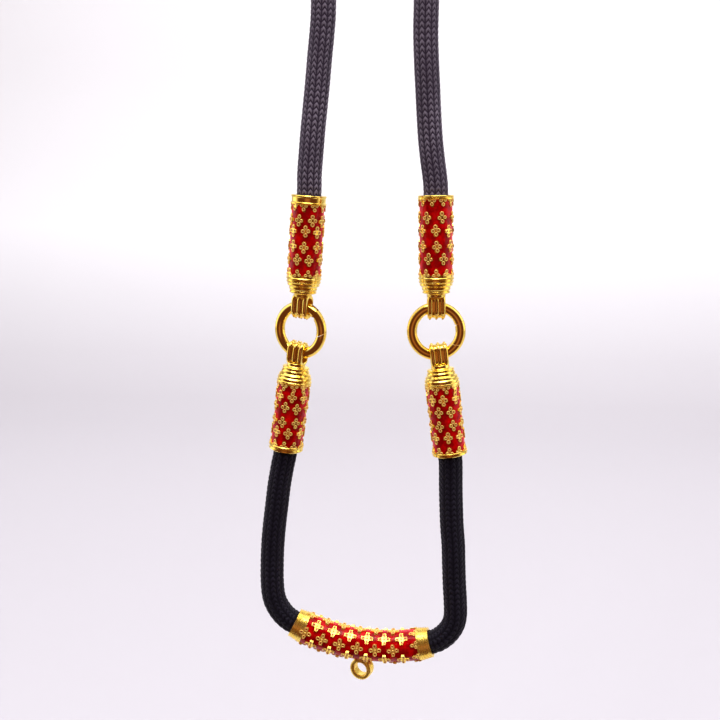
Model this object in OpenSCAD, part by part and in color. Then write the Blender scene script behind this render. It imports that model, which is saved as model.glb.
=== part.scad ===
// Amulet necklace: a black braided cord loop, two spring-gate rings, four enamelled
// end caps and a bent enamelled tube with an eye for a pendant.
// Millimetres. +Z up, +X to the right, the front faces -Y.
// The origin is at the top inside of the loop, where it hangs.

/* [Cord] */
// Diameter of the round braid
cord_d = 7; // [5:0.1:7.1]
// Number of flat sides of the swept cord
cord_sides = 12; // [8:1:12]

/* [Rings] */
// Diameter of the ring wire
wire_d = 3; // [2.4:0.05:3.1]
// Radius of the middle line of the ring wire
ring_r = 7.05; // [6.5:0.05:7.5]
// Diameter of the hinge pin
pin_d = 0.8; // [0.6:0.05:1]
// Thickness of the gate's tongue
tongue_t = 1; // [0.8:0.05:1.1]
// Gap at the free end of a gate
gate_gap = 0.12; // [0.08:0.01:0.2]

/* [End caps] */
// Radius of the cord socket
socket_r = 3.6; // [3.55:0.05:3.8]
// Depth of the cord socket
socket_depth = 17; // [12:0.5:18]
// Outer radius of the inner sleeve
sleeve_r = 4.3; // [4.2:0.05:4.4]
// Outer radius of the enamel
enamel_r = 4.7; // [4.6:0.05:4.85]
// Height of the flowers above the enamel
flower_rise = 0.3; // [0.2:0.05:0.4]
// Width of the loop, along the hole
bail_w = 5.2; // [4.6:0.1:5.4]
// Thickness of the loop from front to back
bail_d = 4.9; // [4.7:0.1:5.4]

/* [Centre tube] */
// Radius of the tube's middle line
tube_bend_r = 59.4; // [55:0.1:65]
// Radius of the cord bore
tube_bore_r = 3.75; // [3.7:0.05:3.85]
// Outer radius of the tube's sleeve
tube_sleeve_r = 4.3; // [4.2:0.05:4.35]
// Outer radius of the tube's enamel
tube_enamel_r = 4.7; // [4.6:0.05:4.75]
// Outer radius of the tube's flowers
tube_flower_r = 5; // [4.9:0.05:5.1]
// Length of each end collar in degrees of the bend
collar_deg = 3.6; // [3:0.1:4]

/* [Eye] */
// Inner radius of the eye
eye_in_r = 2; // [1.9:0.05:2.2]
// Outer radius of the eye
eye_out_r = 3.4; // [3.2:0.05:3.5]
// Depth of the eye
eye_depth = 3.6; // [3:0.1:4]

/* [Node] */
// Node to draw

/* [Hidden] */

$fn = 96;
gold = [0.86, 0.66, 0.2];
red = [0.65, 0.02, 0.05];
black = [0.06, 0.06, 0.07];

// Rings: centre x, centre z, turn about the vertical, pin angle, free end angle, gate travel
ring_left_row = [-21.8, -225.9, -20, 51.7, -10, 30];
ring_right_row = [18.03, -225.6, 7, 28.3, -33.4, 8];

// Flower rows of each cap: share of the body's length from the mouth, turn
rows_ul = [[0.272, 0], [0.39, 24], [0.561, 24], [0.703, 0]];
rows_ur = [[0.243, 17], [0.387, -6], [0.558, 0], [0.7, 20]];
rows_ll = [[0.261, 14], [0.401, -6], [0.589, -7], [0.732, 16]];
rows_lr = [[0.251, 3], [0.402, 27], [0.573, 27], [0.727, 4]];

// Caps: ring row, direction of the cap in the ring's plane from straight up,
// distance of the mouth from the ring's centre, height of the mouth's band,
// turn of the half flowers at the mouth, turn of those at the crown, flowers in a row, rows
cap_ul = [ring_left_row, 4.65, 39.33, 2.65, 15, 6, 8, rows_ul];
cap_ur = [ring_right_row, -0.79, 38.9, 1.2, -16, -3, 7, rows_ur];
cap_ll = [ring_left_row, 188.57, 36.7, 1.7, -20, -31, 8, rows_ll];
cap_lr = [ring_right_row, 173.13, 36.75, 1.2, 4, -8, 8, rows_lr];

// Where the crown's ledge is, from a ring's centre along its cap
ledge_at = 13.27;

// Small gap round each enamel
gap = 0.05;

// Point on a cap's axis at the distance h from the ring's centre
function cap_point(cap, h) =
    let (row = cap[0], a = cap[1])
    [row[0] + h * sin(a) * cos(row[2]), h * sin(a) * sin(row[2]), row[1] + h * cos(a)];

// Centre tube: bend centre and the angles of its two ends from straight down
tube_c = [2.07, -263.2];
tube_a0 = -26.5;
tube_a1 = 14.9;
function tube_point(a) =
    [tube_c[0] + tube_bend_r * sin(a), 0, tube_c[1] - tube_bend_r * cos(a)];

// Cord routes, x y z, between points that the caps and the tube give
neck_left = [
    [-18.6, -1.4, -181], [-18.1, -1.4, -175], [-17.6, -1.2, -169], [-16.9, -0.9, -162],
    [-16.2, -0.6, -155], [-15.6, -0.3, -148], [-14.9, -0.1, -141], [-14.5, 0, -134],
    [-14.4, 0, -115], [-14.4, 0, -94], [-14.4, 0, -73], [-14.4, 0, -52],
    [-14.4, 0, -31], [-14.4, 0, -11]];
neck_top = [
    [-13.3, 0, -5.4], [-10.2, 0, -0.7], [-5.5, 0, 2.4], [0, 0, 3.5],
    [5.5, 0, 2.4], [10.2, 0, -0.7], [13.3, 0, -5.4]];
neck_right = [
    [14.4, 0, -11], [14.4, 0, -31], [14.4, 0, -52], [14.4, 0, -73],
    [14.4, 0, -94], [14.4, 0, -115], [14.3, 0, -134], [14.2, 0, -142],
    [14.5, 0, -150], [14.9, 0, -157], [15.3, 0, -164], [15.8, 0, -171],
    [16.5, -0.1, -177], [17.2, -0.1, -182]];
lower_left = [
    [-28, 2, -267.5], [-29.1, 2, -273.5], [-29.9, 1.7, -280], [-30.6, 1.3, -286],
    [-31.1, 0.9, -292], [-31.3, 0.5, -298], [-31.3, 0.2, -303], [-31, 0, -307],
    [-30.3, 0, -309.9], [-28.9, 0, -312.5], [-27, 0, -314.7]];
lower_right = [
    [20.2, 0, -319.3], [22.5, 0, -317.2], [24.1, 0, -314.5], [24.7, 0, -311.5],
    [24.6, 0, -307], [24.3, 0, -302.5], [24, 0, -296], [23.8, 0.1, -290],
    [23.3, 0.2, -284], [23, 0.3, -278], [22.8, 0.4, -272], [22.7, 0.5, -266]];

neck_route = concat([cap_point(cap_ul, cap_ul[2] - socket_depth), cap_point(cap_ul, cap_ul[2])],
                    neck_left, neck_top, neck_right,
                    [cap_point(cap_ur, cap_ur[2]), cap_point(cap_ur, cap_ur[2] - socket_depth)]);
lower_route = concat([cap_point(cap_ll, cap_ll[2] - socket_depth), cap_point(cap_ll, cap_ll[2])],
                     lower_left,
                     [for (i = [0:6]) tube_point(tube_a0 + i * (tube_a1 - tube_a0) / 6)],
                     lower_right,
                     [cap_point(cap_lr, cap_lr[2]), cap_point(cap_lr, cap_lr[2] - socket_depth)]);

// Swept tube of flat sides along a route
function unit(v) = v / norm(v);
function heading(p, i) =
    i == 0 ? unit(p[1] - p[0]) :
    i == len(p) - 1 ? unit(p[i] - p[i - 1]) :
    unit(unit(p[i + 1] - p[i]) + unit(p[i] - p[i - 1]));
function side_axis(t) = unit(cross([0, 1, 0], t));
function ring_points(p, i, r, n) =
    let (t = heading(p, i), u = side_axis(t), v = cross(t, u))
    [for (k = [0:n - 1]) p[i] + r * (cos(360 * k / n) * u + sin(360 * k / n) * v)];

module sweep(p, r, n) {
    m = len(p);
    pts = [for (i = [0:m - 1]) each ring_points(p, i, r, n)];
    walls = [for (i = [0:m - 2]) for (k = [0:n - 1])
        [i * n + k, (i + 1) * n + k, (i + 1) * n + (k + 1) % n, i * n + (k + 1) % n]];
    ends = [[for (k = [0:n - 1]) k], [for (k = [n - 1:-1:0]) (m - 1) * n + k]];
    polyhedron(points = pts, faces = concat(walls, ends), convexity = 6);
}

module neck_cord() {
    color(black) sweep(neck_route, cord_d / 2, cord_sides);
}

module lower_cord() {
    color(black) sweep(lower_route, cord_d / 2, cord_sides);
}

// Into the frame of a ring: x and y in the ring's plane, z to the front
module in_ring(row) {
    translate([row[0], 0, row[1]]) rotate([0, 0, row[2]]) rotate([90, 0, 0]) children();
}

// Into the frame of a cap: z from the ring's centre towards the mouth, -y to the front
module in_cap(cap) {
    translate([cap[0][0], 0, cap[0][1]]) rotate([0, 0, cap[0][2]]) rotate([0, cap[1], 0]) children();
}

// Corners of one cast flower in one quarter, the rest by turning it over
quarter = [[0.3, 1.7], [0.66, 1.22], [0.47, 0.58], [1.34, 0.42]];

// One cast flower: four petals in one outline, grown by g all round
function grown(p, g) = p + g * unit(p) * 1.15;
module flower_flat(g) {
    n = len(quarter);
    polygon([
        for (i = [0:n - 1]) grown(quarter[i], g),
        for (i = [n - 1:-1:0]) let (q = quarter[i]) grown([q[0], -q[1]], g),
        for (i = [0:n - 1]) grown(-quarter[i], g),
        for (i = [n - 1:-1:0]) let (q = quarter[i]) grown([-q[0], q[1]], g)]);
}

// Half flower on a rim: a wide foot and a tip petal
module half_flower_flat(w, h, g) {
    polygon([[-w / 2 - g, -0.3], [-w / 2 - g, 0.4], [-0.5 - g, 0.75 + g], [-0.55 - g, h - 0.5],
             [-0.25 - g, h + g], [0.25 + g, h + g], [0.55 + g, h - 0.5], [0.5 + g, 0.75 + g],
             [w / 2 + g, 0.4], [w / 2 + g, -0.3]]);
}

// A flat shape stood outwards from the axis at the height z and the turn a
module radial(z, a, r0, r1) {
    rotate([0, 0, a]) translate([0, 0, z]) rotate([90, 0, 0])
        translate([0, 0, r0]) linear_extrude(height = r1 - r0) children();
}

// Small turns in degrees that keep the rows from looking ruled
row_swing = [0, 2, -2, 1, -2, 2, -1, 1];

// Where the crown's flowers begin, from the ring's centre
function crown_at(cap) = cap[2] - (cap[2] - ledge_at) * 0.885;

module cap_flowers(cap, g, top) {
    rows = cap[7];
    for (j = [0:3])
        for (i = [0:cap[6] - 1])
            radial(cap[2] - (cap[2] - ledge_at) * rows[j][0] + 0.05 * row_swing[(i + j) % 8],
                   360 * i / cap[6] + rows[j][1] + row_swing[(i + 3 * j) % 8],
                   sleeve_r - 0.2, top)
                flower_flat(g);
    for (i = [0:9]) {
        radial(cap[2] - cap[3] + 0.1, 36 * i + cap[4], sleeve_r - 0.2, top)
            mirror([0, 1, 0]) half_flower_flat(2.2, i % 2 == 0 ? 2.1 : 1.8, g);
        radial(crown_at(cap), 36 * i + cap[5], sleeve_r - 0.2, top)
            half_flower_flat(2.2, i % 3 == 0 ? 2.1 : 1.8, g);
    }
}

// Neck, stepped crown, sleeve and mouth of a cap in one turned outline
module cap_body(cap) {
    top = cap[2];
    band = top - cap[3];
    crown = crown_at(cap);
    rotate_extrude()
        polygon([[0, 9.9], [1.5, 9.9], [2.15, 10.25], [2.85, 10.8], [3.45, 11.4], [4.05, 12.15],
                 [4.15, 12.45], [4.1, 12.85], [4.65, 13.3], [4.75, 13.5], [4.7, 13.95],
                 [5, 14.25], [5.05, 14.5], [4.9, 14.65], [4.9, 15], [5.15, 15.2], [5.2, 15.5],
                 [5, 15.7], [5, crown + 0.2], [sleeve_r, crown + 0.2],
                 [sleeve_r, band], [5.05, band], [5.25, band + 0.15], [5.25, band + 0.45],
                 [5.05, band + 0.6], if (cap[3] > 1.5) each [[4.95, band + 0.7], [4.95, top - 0.75]],
                 [5.1, top - 0.5], [5.15, top - 0.2], [4.95, top],
                 [3.9, top], [socket_r, top - 0.3], [socket_r, top - socket_depth],
                 [0, top - socket_depth]]);
}

// Side outline of the loop, drawn in so far from its ribs: two round ends and straight sides
bail_z = [5.92, 8.45];
module bail_side(inset) {
    r = bail_d / 2 - inset;
    for (z = bail_z) translate([0, z]) circle(r = r);
    translate([-r, bail_z[0]]) square([2 * r, bail_z[1] - bail_z[0]]);
}

// A rounded rib that runs all round the loop at the place x along the hole
rib_r = 0.75;
module bail_rib(x) {
    for (k = [0, 1])
        translate([x, 0, bail_z[k]]) rotate([0, 90, 0]) rotate([0, 0, k * 180 - 90])
            rotate_extrude(angle = 180) translate([bail_d / 2 - rib_r, 0]) circle(r = rib_r, $fn = 48);
    for (s = [-1, 1])
        translate([x, s * (bail_d / 2 - rib_r), bail_z[0]])
            cylinder(r = rib_r, h = bail_z[1] - bail_z[0], $fn = 48);
}

module bail() {
    slot = wire_d / 2 + 0.15;
    difference() {
        union() {
            translate([-bail_w / 2 + 0.3, 0, 0]) rotate([90, 0, 90])
                linear_extrude(height = bail_w - 0.6) bail_side(0.35);
            for (s = [-1, 0, 1]) bail_rib(s * (bail_w / 2 - rib_r));
        }
        rotate([90, 0, 90]) linear_extrude(height = bail_w + 1, center = true) {
            for (z = [6.5, 7.95]) translate([0, z]) circle(r = slot);
            translate([-slot, 6.5]) square([2 * slot, 1.45]);
        }
    }
}

module cap(cap) {
    color(gold) in_cap(cap) {
        cap_body(cap);
        cap_flowers(cap, 0, enamel_r + flower_rise - 0.1);
        bail();
    }
}

module enamel(cap) {
    low = crown_at(cap) + 0.2 + gap;
    high = cap[2] - cap[3] - gap;
    color(red) in_cap(cap)
        difference() {
            translate([0, 0, low]) cylinder(r = enamel_r, h = high - low);
            translate([0, 0, low - 1]) cylinder(r = sleeve_r + gap, h = high - low + 2);
            cap_flowers(cap, gap, enamel_r + 1);
        }
}

module cap_upper_left() {
    cap(cap_ul);
}

module cap_upper_right() {
    cap(cap_ur);
}

module cap_lower_left() {
    cap(cap_ll);
}

module cap_lower_right() {
    cap(cap_lr);
}

module enamel_upper_left() {
    enamel(cap_ul);
}

module enamel_upper_right() {
    enamel(cap_ur);
}

module enamel_lower_left() {
    enamel(cap_ll);
}

module enamel_lower_right() {
    enamel(cap_lr);
}

// Into the frame of the tube's bend: angles from +x, straight down is 270
module in_bend() {
    translate([tube_c[0], 0, tube_c[1]]) rotate([90, 0, 0]) children();
}

module bend(a0, a1, r) {
    in_bend() rotate([0, 0, 270 + a0]) rotate_extrude(angle = a1 - a0)
        translate([tube_bend_r, 0]) circle(r = r);
}

// A flat shape stood outwards from the tube at the angle a along it and b about it:
// b is 0 to the front, 90 to the underside
module on_tube(a, b, r0, r1) {
    in_bend() rotate([0, 0, 270 + a]) translate([tube_bend_r, 0, 0]) rotate([0, b, 0])
        translate([0, 0, r0]) linear_extrude(height = r1 - r0) children();
}

module star_flat(g) {
    polygon([for (q = [0:3]) each [
        grown([1.85 * cos(90 * q - 14), 1.85 * sin(90 * q - 14)], g),
        grown([1.85 * cos(90 * q + 14), 1.85 * sin(90 * q + 14)], g),
        grown([0.9 * cos(90 * q + 45), 0.9 * sin(90 * q + 45)], g)]]);
}

// Where the eye is soldered on: its angle along the tube and the reach in mm that stays free
patch_a = -5.3;
patch_reach = 4.65;
function from_patch(a, b) =
    norm([(a - patch_a) * tube_bend_r, (b - 90) * tube_flower_r]) * PI / 180;

// Flower rows of the tube: turn about it, first angle along it
tube_rows = [[-86, -22.4], [-46, -19.7], [-6, -22.4], [34, -19.7],
             [82, -22.4], [130, -19.7], [178, -22.4], [226, -19.7]];
star_pitch = 5.3;

module tube_flowers(g, top) {
    for (row = tube_rows)
        for (i = [0:5]) {
            a = row[1] + star_pitch * i;
            if (from_patch(a, row[0]) > patch_reach)
                on_tube(a, row[0], tube_sleeve_r - 0.2, top) star_flat(g);
        }
    for (b = [-20:45:300])
        on_tube(tube_a1 - collar_deg, b, tube_sleeve_r - 0.2, top)
            mirror([0, 1, 0]) half_flower_flat(2.2, 2, g);
}

eye_at = [-3.6, -329.9];
eye_turn = -16;

module eye_patch(g) {
    on_tube(patch_a, 90, tube_sleeve_r - 0.3, 5.05) {
        circle(r = 2.3 + g);
        for (q = [0:3]) rotate(45 + 90 * q) translate([1.9, 0]) circle(r = 0.8 + g, $fn = 32);
    }
}

module eye() {
    e = eye_depth / 2;
    translate([eye_at[0], 0, eye_at[1]]) rotate([0, 0, eye_turn]) rotate([90, 0, 0])
        rotate_extrude()
            polygon([[eye_in_r, -e + 0.5], [eye_in_r + 0.1, -e + 0.25], [eye_in_r + 0.4, -e + 0.05],
                     [eye_in_r + 0.75, -e], [eye_out_r - 0.3, -e + 0.12], [eye_out_r - 0.05, -e + 0.4],
                     [eye_out_r, -e + 0.75], [eye_out_r, -0.35], [eye_out_r - 0.15, 0],
                     [eye_out_r, 0.35], [eye_out_r, e - 0.75], [eye_out_r - 0.05, e - 0.4],
                     [eye_out_r - 0.3, e - 0.12], [eye_in_r + 0.75, e], [eye_in_r + 0.4, e - 0.05],
                     [eye_in_r + 0.1, e - 0.25], [eye_in_r, e - 0.5]]);
}

// Steps of an end collar: from, to in degrees from the rim, radius
collar_steps = [[0, 0.45, 4.5], [0.4, 0.75, 4.35], [0.7, 1.2, 4.6], [1.15, 1.45, 4.4],
                [1.4, 1.95, 4.7], [1.9, 2.2, 4.5], [2.15, 2.7, 4.8], [2.65, 2.9, 4.6],
                [2.85, 3.6, 4.9]];

module centre_tube() {
    color(gold) difference() {
        union() {
            bend(tube_a0 + 0.2, tube_a1 - 0.2, tube_sleeve_r);
            for (s = collar_steps) {
                bend(tube_a0 + s[0], tube_a0 + s[1], s[2]);
                bend(tube_a1 - s[1], tube_a1 - s[0], s[2]);
            }
            tube_flowers(0, tube_flower_r - 0.08);
            eye_patch(0);
            eye();
        }
        bend(tube_a0 - 1, tube_a1 + 1, tube_bore_r);
    }
}

module centre_enamel() {
    color(red) difference() {
        bend(tube_a0 + collar_deg + 0.05, tube_a1 - collar_deg - 0.05, tube_enamel_r);
        bend(tube_a0, tube_a1, tube_sleeve_r + gap);
        tube_flowers(gap, tube_flower_r + 1);
        eye_patch(gap);
    }
}

// A gate's pin on the middle line of the wire, and the reach of its free end
function pin_at(row) = [ring_r * cos(row[3]), ring_r * sin(row[3])];
function gate_reach(row) = 2 * ring_r * sin((row[3] - row[4]) / 2);

module at_pin(row) {
    translate(concat(pin_at(row), [0])) rotate([0, 0, row[3] - 90]) children();
}

module wire() {
    rotate_extrude() translate([ring_r, 0]) circle(r = wire_d / 2);
}

module ring_body(row) {
    color(gold) in_ring(row) {
        difference() {
            wire();
            at_pin(row) linear_extrude(height = 6, center = true) intersection() {
                translate([0.9, -9]) square([12, 18]);
                circle(r = gate_reach(row) + gate_gap);
            }
            at_pin(row) translate([-1.42, -3, -tongue_t / 2 - 0.08]) cube([3, 6, tongue_t + 0.16]);
        }
        at_pin(row) cylinder(d = pin_d, h = wire_d - 0.2, center = true);
    }
}

module gate_body(row) {
    travel = row[5] + 2;
    edge = (1 + 2.2 * sin(travel)) / cos(travel);
    color(gold) in_ring(row) {
        difference() {
            union() {
                intersection() {
                    wire();
                    at_pin(row) linear_extrude(height = 6, center = true) intersection() {
                        polygon([[1, 4], [1, tan(travel / 2)], [edge, -2.2], [edge, -9],
                                 [12, -9], [12, 4]]);
                        circle(r = gate_reach(row));
                    }
                }
                at_pin(row) cylinder(r = 1.25, h = tongue_t, center = true);
                at_pin(row) translate([0, -1.15, -tongue_t / 2]) cube([2.6, 2, tongue_t]);
            }
            at_pin(row) cylinder(d = pin_d + 0.1, h = 4, center = true);
        }
    }
}

module ring_left() {
    ring_body(ring_left_row);
}

module ring_right() {
    ring_body(ring_right_row);
}

module gate_left() {
    gate_body(ring_left_row);
}

module gate_right() {
    gate_body(ring_right_row);
}

neck_cord();
lower_cord();
cap_upper_left();
cap_upper_right();
cap_lower_left();
cap_lower_right();
enamel_upper_left();
enamel_upper_right();
enamel_lower_left();
enamel_lower_right();
centre_tube();
centre_enamel();
ring_left();
ring_right();
gate_left();
gate_right();
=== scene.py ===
"""Looks of the amulet necklace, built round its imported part.

Two braided cords are worked out with numpy. Petal rings, pits and beads lie on the cast
flowers, granules on the bails, and each cap gets its turned foot. Every metal and enamel solid
of the part gets its own finish. Metres, in the part's frame.
"""

import bpy
import numpy as np
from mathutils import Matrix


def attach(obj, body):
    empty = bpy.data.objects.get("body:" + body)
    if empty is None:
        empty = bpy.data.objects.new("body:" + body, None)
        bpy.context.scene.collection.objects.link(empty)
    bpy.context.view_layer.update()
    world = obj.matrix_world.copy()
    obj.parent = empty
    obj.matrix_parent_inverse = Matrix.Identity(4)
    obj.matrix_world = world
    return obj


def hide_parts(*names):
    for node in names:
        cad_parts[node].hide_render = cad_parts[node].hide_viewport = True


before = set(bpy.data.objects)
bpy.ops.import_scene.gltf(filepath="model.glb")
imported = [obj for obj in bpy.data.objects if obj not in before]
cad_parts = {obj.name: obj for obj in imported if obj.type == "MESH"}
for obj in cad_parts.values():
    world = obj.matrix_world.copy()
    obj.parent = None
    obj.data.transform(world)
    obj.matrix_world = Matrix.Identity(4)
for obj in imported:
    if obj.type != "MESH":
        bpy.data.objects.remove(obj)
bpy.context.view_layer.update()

bl_info = {
    "name": "Amulet necklace",
    "version": (1, 0, 0),
    "blender": (4, 5, 0),
    "location": "3D View > Sidebar > Necklace",
    "description": "Braided cords, cast flowers, enamel and stage of an amulet necklace",
    "category": "Object",
}

# The part's own sizes are in mm, as in its source, and its turns in degrees
MM = 0.001
BODY = "necklace"

# Rings of the part: centre x and z, turn about the vertical
RINGS = {"left": (-21.8, -225.9, -20.0), "right": (18.03, -225.6, 7.0)}

# Caps of the part: ring, direction in the ring's plane, mouth from the ring's centre, height of
# the mouth's band, turn of the half flowers at mouth and crown, flowers in a row
CAPS = {
    "upper_left": ("left", 4.65, 39.33, 2.65, 15, 6, 8),
    "upper_right": ("right", -0.79, 38.9, 1.2, -16, -3, 7),
    "lower_left": ("left", 188.57, 36.7, 1.7, -20, -31, 8),
    "lower_right": ("right", 173.13, 36.75, 1.2, 4, -8, 8),
}
# Flower rows of each cap: share of the body's length from the mouth, turn
CAP_ROWS = {
    "upper_left": [(0.272, 0), (0.39, 24), (0.561, 24), (0.703, 0)],
    "upper_right": [(0.243, 17), (0.387, -6), (0.558, 0), (0.7, 20)],
    "lower_left": [(0.261, 14), (0.401, -6), (0.589, -7), (0.732, 16)],
    "lower_right": [(0.251, 3), (0.402, 27), (0.573, 27), (0.727, 4)],
}
# Small turns that keep the rows from looking ruled, and the height that goes with one degree
SWING = np.array([0, 2, -2, 1, -2, 2, -1, 1], float)
SWING_LIFT = 0.05
# Half flowers round a cap, their lift over the mouth's band and their share at the crown
HALF_COUNT = 10
MOUTH_LIFT = 0.1
CROWN_SHARE = 0.885
# Radius of a cap's flowers, ledge of its crown from the ring's centre, depth of its cord socket
CAP_FLAT = 4.9
LEDGE = 13.27
SOCKET = 17.0
# Turned foot between bail and dome, with the wire round the dome: radius, distance from the
# ring's centre
FOOT = [(1.6, 9.75), (2.5, 9.82), (2.66, 9.9), (2.7, 10.05), (2.7, 10.4), (2.7, 10.75),
        (2.95, 10.9), (3.4, 11.0), (3.7, 11.03), (3.9, 11.16), (3.98, 11.4), (3.9, 11.64),
        (3.7, 11.8), (3.5, 11.85)]
FOOT_STEPS = 64
# Granules on the round end of a bail: that end's middle from the ring's centre, radius of their
# seat, places of the ribs that carry them and turns round the end
BAIL_END = 5.92
GRANULE_SEAT = 2.42
RIBS = (-1.85, 0.0, 1.85)
GRANULE_TURNS = (-64.0, -32.0, 0.0, 32.0, 64.0)

# Bend of the centre tube: centre x and z, radius, first and last angle from straight down
TUBE = (2.07, -263.2, 59.4, -26.5, 14.9)
# Flower rows of the tube: turn about it, first angle along it
TUBE_ROWS = [(-86, -22.4), (-46, -19.7), (-6, -22.4), (34, -19.7),
             (82, -22.4), (130, -19.7), (178, -22.4), (226, -19.7)]
# Stars in a row and the angle from one to the next
STAR_COUNT = 6
STAR_PITCH = 5.3
# Radius of the tube, and of the place where its petals lie
TUBE_RADIUS = 5.0
TUBE_FLAT = 4.92
# Patch of the eye, free of stars: angle along the tube, turn about it, reach
EYE_PATCH = (-5.3, 90.0, 4.65)
# Length of an end collar along the bend, and turns of the half flowers beside the right one
COLLAR = 3.6
COLLAR_TURNS = np.arange(-20.0, 300.0, 45.0)

# Routes of the cords between the caps and the tube, x y z in mm, given one by one
NECK_LEFT = [
    (-18.6, -1.4, -181), (-18.1, -1.4, -175), (-17.6, -1.2, -169), (-16.9, -0.9, -162),
    (-16.2, -0.6, -155), (-15.6, -0.3, -148), (-14.9, -0.1, -141), (-14.5, 0, -134),
    (-14.4, 0, -115), (-14.4, 0, -94), (-14.4, 0, -73), (-14.4, 0, -52),
    (-14.4, 0, -31), (-14.4, 0, -11)]
NECK_TOP = [
    (-13.3, 0, -5.4), (-10.2, 0, -0.7), (-5.5, 0, 2.4), (0, 0, 3.5),
    (5.5, 0, 2.4), (10.2, 0, -0.7), (13.3, 0, -5.4)]
NECK_RIGHT = [
    (14.4, 0, -11), (14.4, 0, -31), (14.4, 0, -52), (14.4, 0, -73),
    (14.4, 0, -94), (14.4, 0, -115), (14.3, 0, -134), (14.2, 0, -142),
    (14.5, 0, -150), (14.9, 0, -157), (15.3, 0, -164), (15.8, 0, -171),
    (16.5, -0.1, -177), (17.2, -0.1, -182)]
LOWER_LEFT = [
    (-28, 2, -267.5), (-29.1, 2, -273.5), (-29.9, 1.7, -280), (-30.6, 1.3, -286),
    (-31.1, 0.9, -292), (-31.3, 0.5, -298), (-31.3, 0.2, -303), (-31, 0, -307),
    (-30.3, 0, -309.9), (-28.9, 0, -312.5), (-27, 0, -314.7)]
LOWER_RIGHT = [
    (20.2, 0, -319.3), (22.5, 0, -317.2), (24.1, 0, -314.5), (24.7, 0, -311.5),
    (24.6, 0, -307), (24.3, 0, -302.5), (24, 0, -296), (23.8, 0.1, -290),
    (23.3, 0.2, -284), (23, 0.3, -278), (22.8, 0.4, -272), (22.7, 0.5, -266)]
# Points in the tube that the lower cord runs through, and those of a curve between two points
TUBE_POINTS = 7
CURVE_STEPS = 12

# Braid: step along it in mm, columns of stitches round it, facets of a column
BRAID_STEP = 0.32
COLUMNS = 12
FACETS = 6
# Climb of an arrowhead in pitches on an upright cord, how much it wavers, and the waver's
# rate in radians per metre
CLIMB = 0.8
WAVER = 0.1
WAVER_RATE = 260.0
# How round the stitches and the columns are: 0 is flat, 1 a half circle
STITCH_ROUND = 0.93
COLUMN_ROUND = 0.7
# Threads in a stitch
THREADS = 6

# Petal rings of a flower: place across and along it, the ring's two half axes, in mm
CAP_PETALS = [(0.77, 0.0, 0.41, 0.42), (-0.77, 0.0, 0.41, 0.42),
              (0.0, 1.06, 0.42, 0.49), (0.0, -1.06, 0.42, 0.49)]
TUBE_PETALS = [(1.2, 0.0, 0.52, 0.42), (-1.2, 0.0, 0.52, 0.42),
               (0.0, 1.2, 0.42, 0.52), (0.0, -1.2, 0.42, 0.52)]
HALF_PETALS = [(0.0, 1.38, 0.4, 0.44), (0.68, 0.28, 0.36, 0.32), (-0.68, 0.28, 0.36, 0.32)]
# Steps along a petal ring and round its wire
RING_STEPS = 14
WIRE_STEPS = 7
# Most that a flower is turned, in degrees, and a petal strays, and the range of a petal's size
FLOWER_TILT = 7
PETAL_STRAY = 0.06
PETAL_SIZES = (0.86, 1.06)
# Pit in a petal: steps round it, lift over the flower, how much smaller it is, depth
PIT_STEPS = 10
PIT_LIFT = 0.05
PIT_INSET = 0.06
PIT_DEPTH = 0.035
# Bead: steps round it, angles of its circles of points up from its place, radius, and height
# on a bail and on a star
BEAD_STEPS = 10
BEAD_LEVELS = (-25, 15, 48, 78)
BEAD = 0.34
GRANULE_RISE = 0.22
STAR_BEAD_RISE = 0.26

# Order of a quad's corners the other way round
FLIP = [0, 3, 2, 1]

# Warm glow painted into the metal as emission: a painted stand-in for the light that gold throws to
# and fro in narrow openings
GLOW = (1.0, 0.36, 0.02, 1.0)
GLOW_STRENGTH = 0.03

# Camera of the photograph: place in metres, turn in degrees, width of its sensor in mm
CAMERA_PLACE = (0.0346, -0.3161, -0.18406)
CAMERA_TURN = (81.0, 0.0, 7.0)
SENSOR = 36.0

# Paper of the stage in metres: half its width, level of the floor, front edge, start of the
# bend, radius of the bend
PAPER_HALF = 3.0
FLOOR_LEVEL = -0.47
PAPER_FRONT = -0.06
BEND_START = 1.0
BEND_RADIUS = 0.6
# Shares of the paper's profile where the bend starts and ends, the wall's rise with that
# share, and points across the paper and along its profile
BEND_SHARES = (0.45, 0.65)
WALL_RISE = 9.0
PAPER_COLUMNS = 9
PAPER_ROWS = 33
# Height at which the floor's colour has gone over into the wall's
WALL_LEVEL = -0.25

# Soft lamps: place and size in metres, turn in degrees, power, whether the metal mirrors them
LAMPS = {
    "wall": ((0.0, 0.45, 1.0), (2.4, 0.6), (58, 0, 0), 28.0, False),
    "top": ((0.0, -0.25, 0.55), (0.62, 0.44), (14, 0, 0), 4.7, True),
    "front": ((-0.5, -1.0, 0.5), (0.4, 0.4), (52, 0, -26), 12.0, False),
    "right": ((0.75, -0.3, 0.1), (0.5, 0.5), (68, 0, 68), 4.0, False),
}
# Room: direction of the viewer, colours towards the viewer, of that side's core, of the other
# sides and as the camera sees it
VIEWER_SIDE = (0.0, -0.995, -0.1)
ROOM_DARK = (0.09, 0.022, 0.02)
ROOM_CORE = (0.36, 0.14, 0.11)
ROOM_BRIGHT = (1.9, 1.84, 1.95)
ROOM_SEEN = (0.92, 0.9, 0.94)
# Cosines to the viewer's direction between which the bright sides and the core come in
SIDE_FADE = (0.48, -0.2)
CORE_FADE = (0.93, 0.99)


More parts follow.
